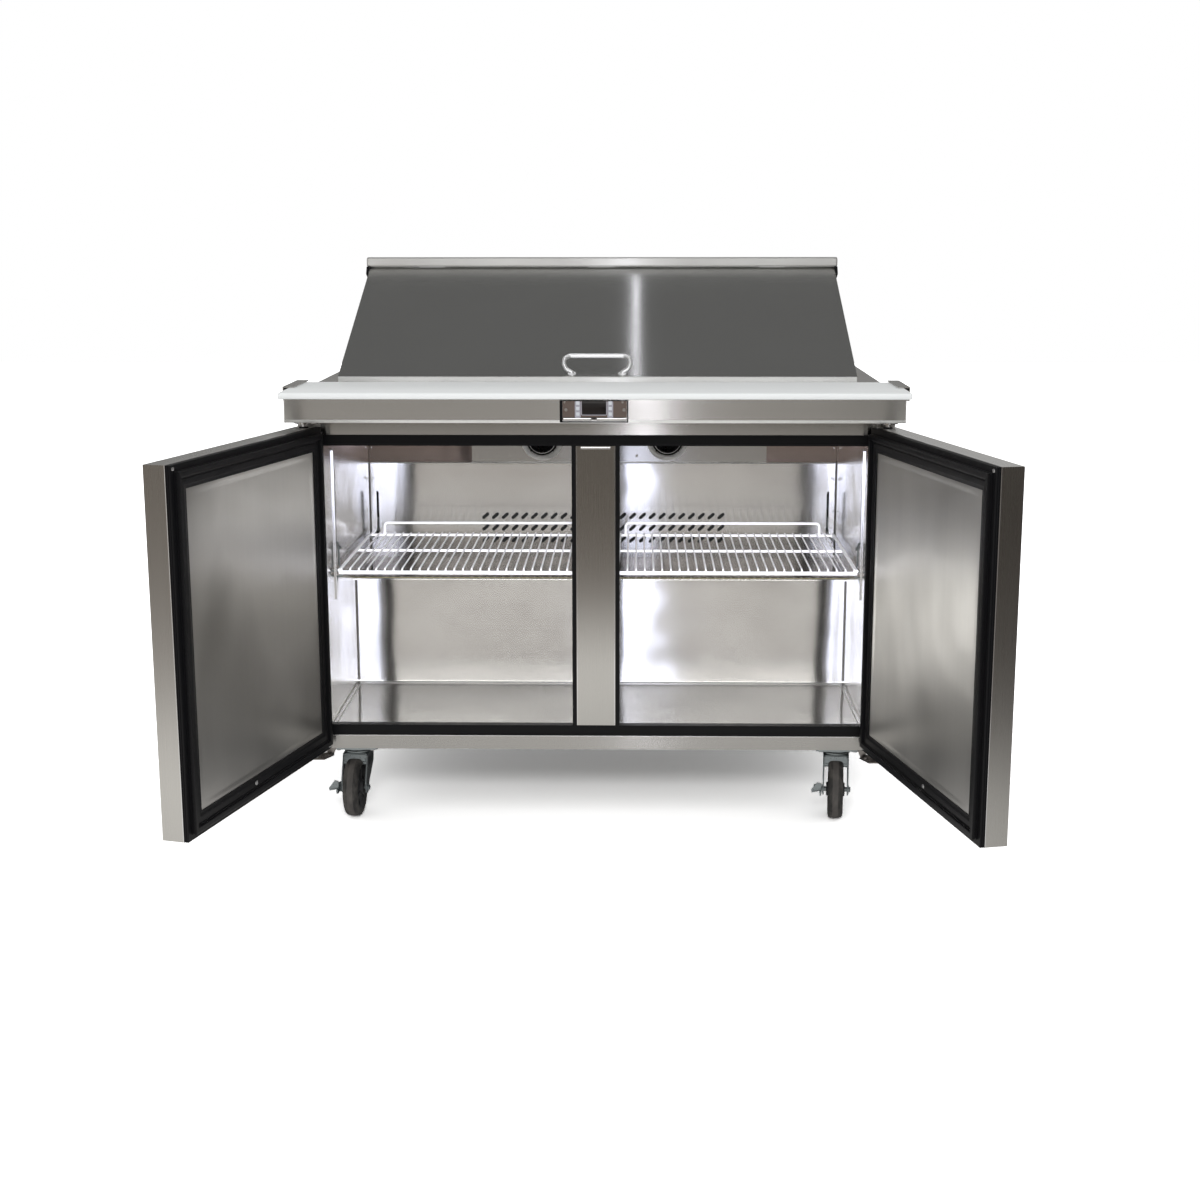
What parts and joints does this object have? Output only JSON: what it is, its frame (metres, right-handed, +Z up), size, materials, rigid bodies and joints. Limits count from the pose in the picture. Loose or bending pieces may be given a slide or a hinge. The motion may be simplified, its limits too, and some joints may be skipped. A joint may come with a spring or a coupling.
{
  "type": "sandwich prep table",
  "caption": "Refrigerated sandwich prep table on casters with hinged doors, wire shelves, a cutting board and food pans under a sloping hinged lid.",
  "frame": {"origin": "centre of the cabinet's flat underside, where the casters bolt on; the floor is 147 mm below", "axes": "+Z up, +X to the right of the person at the board, +Y to the back; the doors are open and the lid closed at rest"},
  "size_m": [1.5052, 1.3631, 1.16],
  "materials": {
    "stainless_brushed": "brushed stainless, grain along the panel",
    "stainless_dark": "brushed stainless that reflects a dark room",
    "liner_polished": "polished stainless",
    "bright_chrome": "bright plated steel",
    "black_plastic": "satin black moulding",
    "gasket_rubber": "soft black extrusion",
    "board_white": "fine matt polyethylene",
    "wire_white": "white coating on wire",
    "foam": "rigid insulation foam",
    "key_plastic": "grey keys",
    "machine_black": "black paint",
    "zinc_plate": "zinc plated",
    "wheel_rubber": "dark grey tread"
  },
  "bodies": {
    "cabinet": {"outer_casing": "stainless_brushed", "centre_mullion": "stainless_brushed", "worktop_deck": "stainless_brushed", "rear_hood": "stainless_brushed", "rear_grille": "stainless_brushed", "board_clip_left": "stainless_brushed", "board_clip_right": "stainless_brushed", "inner_liner": "liner_polished", "food_pans": "liner_polished", "evaporator_unit": "liner_polished", "top_hinge_left": "bright_chrome", "top_hinge_right": "bright_chrome", "bottom_hinge_left": "bright_chrome", "bottom_hinge_right": "bright_chrome", "breaker_frame": "black_plastic", "controller": "black_plastic", "cutting_board": "board_white", "wire_shelf_left": "wire_white", "wire_shelf_right": "wire_white", "insulation_foam": "foam", "condensing_unit": "machine_black", "front_pilaster_left": "zinc_plate", "front_pilaster_right": "zinc_plate", "rear_pilaster_left": "zinc_plate", "rear_pilaster_right": "zinc_plate", "front_left_caster_plate": "zinc_plate", "front_right_caster_plate": "zinc_plate", "rear_left_caster_plate": "zinc_plate", "rear_right_caster_plate": "zinc_plate"},
    "left_door": {"left_door_skin": "stainless_brushed", "left_door_core": "black_plastic", "left_door_liner": "stainless_brushed", "left_door_gasket": "gasket_rubber"},
    "right_door": {"right_door_skin": "stainless_brushed", "right_door_core": "black_plastic", "right_door_liner": "stainless_brushed", "right_door_gasket": "gasket_rubber"},
    "lid": {"lid_skin": "stainless_dark", "lid_liner": "stainless_brushed", "lid_top_rail": "bright_chrome", "lid_handle": "bright_chrome"},
    "front_left_caster": {"front_left_caster_fork": "zinc_plate"},
    "front_left_wheel": {"front_left_caster_wheel": "wheel_rubber"},
    "front_left_brake": {"front_left_brake_pedal": "zinc_plate"},
    "front_right_caster": {"front_right_caster_fork": "zinc_plate"},
    "front_right_wheel": {"front_right_caster_wheel": "wheel_rubber"},
    "front_right_brake": {"front_right_brake_pedal": "zinc_plate"},
    "rear_left_caster": {"rear_left_caster_fork": "zinc_plate"},
    "rear_left_wheel": {"rear_left_caster_wheel": "wheel_rubber"},
    "rear_right_caster": {"rear_right_caster_fork": "zinc_plate"},
    "rear_right_wheel": {"rear_right_caster_wheel": "wheel_rubber"},
    "button_left_top": {"button_left_top": "key_plastic"},
    "button_left_middle": {"button_left_middle": "key_plastic"},
    "button_left_bottom": {"button_left_bottom": "key_plastic"},
    "button_right_top": {"button_right_top": "key_plastic"},
    "button_right_middle": {"button_right_middle": "key_plastic"},
    "button_right_bottom": {"button_right_bottom": "key_plastic"},
    "evaporator_fan_left": {"evaporator_fan_left": "black_plastic"},
    "evaporator_fan_right": {"evaporator_fan_right": "black_plastic"},
    "condenser_fan": {"condenser_fan": "black_plastic"}
  },
  "joints": [
    {"name": "left_door_hinge", "type": "hinge", "parent": "cabinet", "child": "left_door", "pos_m": [-0.5892, -0.4116, 0.3], "axis": [0, 0, -1], "range_deg": [-104.9, 15.1]},
    {"name": "right_door_hinge", "type": "hinge", "parent": "cabinet", "child": "right_door", "pos_m": [0.5892, -0.4116, 0.3], "axis": [0, 0, 1], "range_deg": [-102.9, 17.1]},
    {"name": "lid_hinge", "type": "hinge", "parent": "cabinet", "child": "lid", "pos_m": [0, 0.262, 0.979], "axis": [-1, 0, 0], "range_deg": [0, 112]},
    {"name": "front_left_swivel", "type": "hinge", "parent": "cabinet", "child": "front_left_caster", "pos_m": [-0.512, -0.327, -0.02], "axis": [0, 0, 1], "continuous": true},
    {"name": "front_left_roll", "type": "hinge", "parent": "front_left_caster", "child": "front_left_wheel", "pos_m": [-0.5142, -0.36894, -0.086], "axis": [0.9986, -0.0523, 0], "continuous": true},
    {"name": "front_left_brake_lever", "type": "hinge", "parent": "front_left_caster", "child": "front_left_brake", "pos_m": [-0.5142, -0.36894, -0.086], "axis": [0.9986, -0.0523, 0], "range_deg": [0, 18]},
    {"name": "front_right_swivel", "type": "hinge", "parent": "cabinet", "child": "front_right_caster", "pos_m": [0.512, -0.327, -0.02], "axis": [0, 0, 1], "continuous": true},
    {"name": "front_right_roll", "type": "hinge", "parent": "front_right_caster", "child": "front_right_wheel", "pos_m": [0.50761, -0.36877, -0.086], "axis": [0.9945, -0.1045, 0], "continuous": true},
    {"name": "front_right_brake_lever", "type": "hinge", "parent": "front_right_caster", "child": "front_right_brake", "pos_m": [0.50761, -0.36877, -0.086], "axis": [0.9945, -0.1045, 0], "range_deg": [0, 18]},
    {"name": "rear_left_swivel", "type": "hinge", "parent": "cabinet", "child": "rear_left_caster", "pos_m": [-0.512, 0.327, -0.02], "axis": [0, 0, 1], "continuous": true},
    {"name": "rear_left_roll", "type": "hinge", "parent": "rear_left_caster", "child": "rear_left_wheel", "pos_m": [-0.50327, 0.28592, -0.086], "axis": [0.9781, 0.2079, 0], "continuous": true},
    {"name": "rear_right_swivel", "type": "hinge", "parent": "cabinet", "child": "rear_right_caster", "pos_m": [0.512, 0.327, -0.02], "axis": [0, 0, 1], "continuous": true},
    {"name": "rear_right_roll", "type": "hinge", "parent": "rear_right_caster", "child": "rear_right_wheel", "pos_m": [0.51493, 0.2851, -0.086], "axis": [0.9976, 0.0698, 0], "continuous": true},
    {"name": "button_left_top_press", "type": "slide", "parent": "cabinet", "child": "button_left_top", "axis": [0, 1, 0], "range_m": [0, 0.0008]},
    {"name": "button_left_middle_press", "type": "slide", "parent": "cabinet", "child": "button_left_middle", "axis": [0, 1, 0], "range_m": [0, 0.0008]},
    {"name": "button_left_bottom_press", "type": "slide", "parent": "cabinet", "child": "button_left_bottom", "axis": [0, 1, 0], "range_m": [0, 0.0008]},
    {"name": "button_right_top_press", "type": "slide", "parent": "cabinet", "child": "button_right_top", "axis": [0, 1, 0], "range_m": [0, 0.0008]},
    {"name": "button_right_middle_press", "type": "slide", "parent": "cabinet", "child": "button_right_middle", "axis": [0, 1, 0], "range_m": [0, 0.0008]},
    {"name": "button_right_bottom_press", "type": "slide", "parent": "cabinet", "child": "button_right_bottom", "axis": [0, 1, 0], "range_m": [0, 0.0008]},
    {"name": "evaporator_fan_left_spin", "type": "hinge", "parent": "cabinet", "child": "evaporator_fan_left", "pos_m": [-0.139, 0.192, 0.592], "axis": [0, -1, 0], "continuous": true},
    {"name": "evaporator_fan_right_spin", "type": "hinge", "parent": "cabinet", "child": "evaporator_fan_right", "pos_m": [0.156, 0.192, 0.592], "axis": [0, -1, 0], "continuous": true},
    {"name": "condenser_fan_spin", "type": "hinge", "parent": "cabinet", "child": "condenser_fan", "pos_m": [0.25, 0.214, 0.118], "axis": [0, 1, 0], "continuous": true}
  ]
}
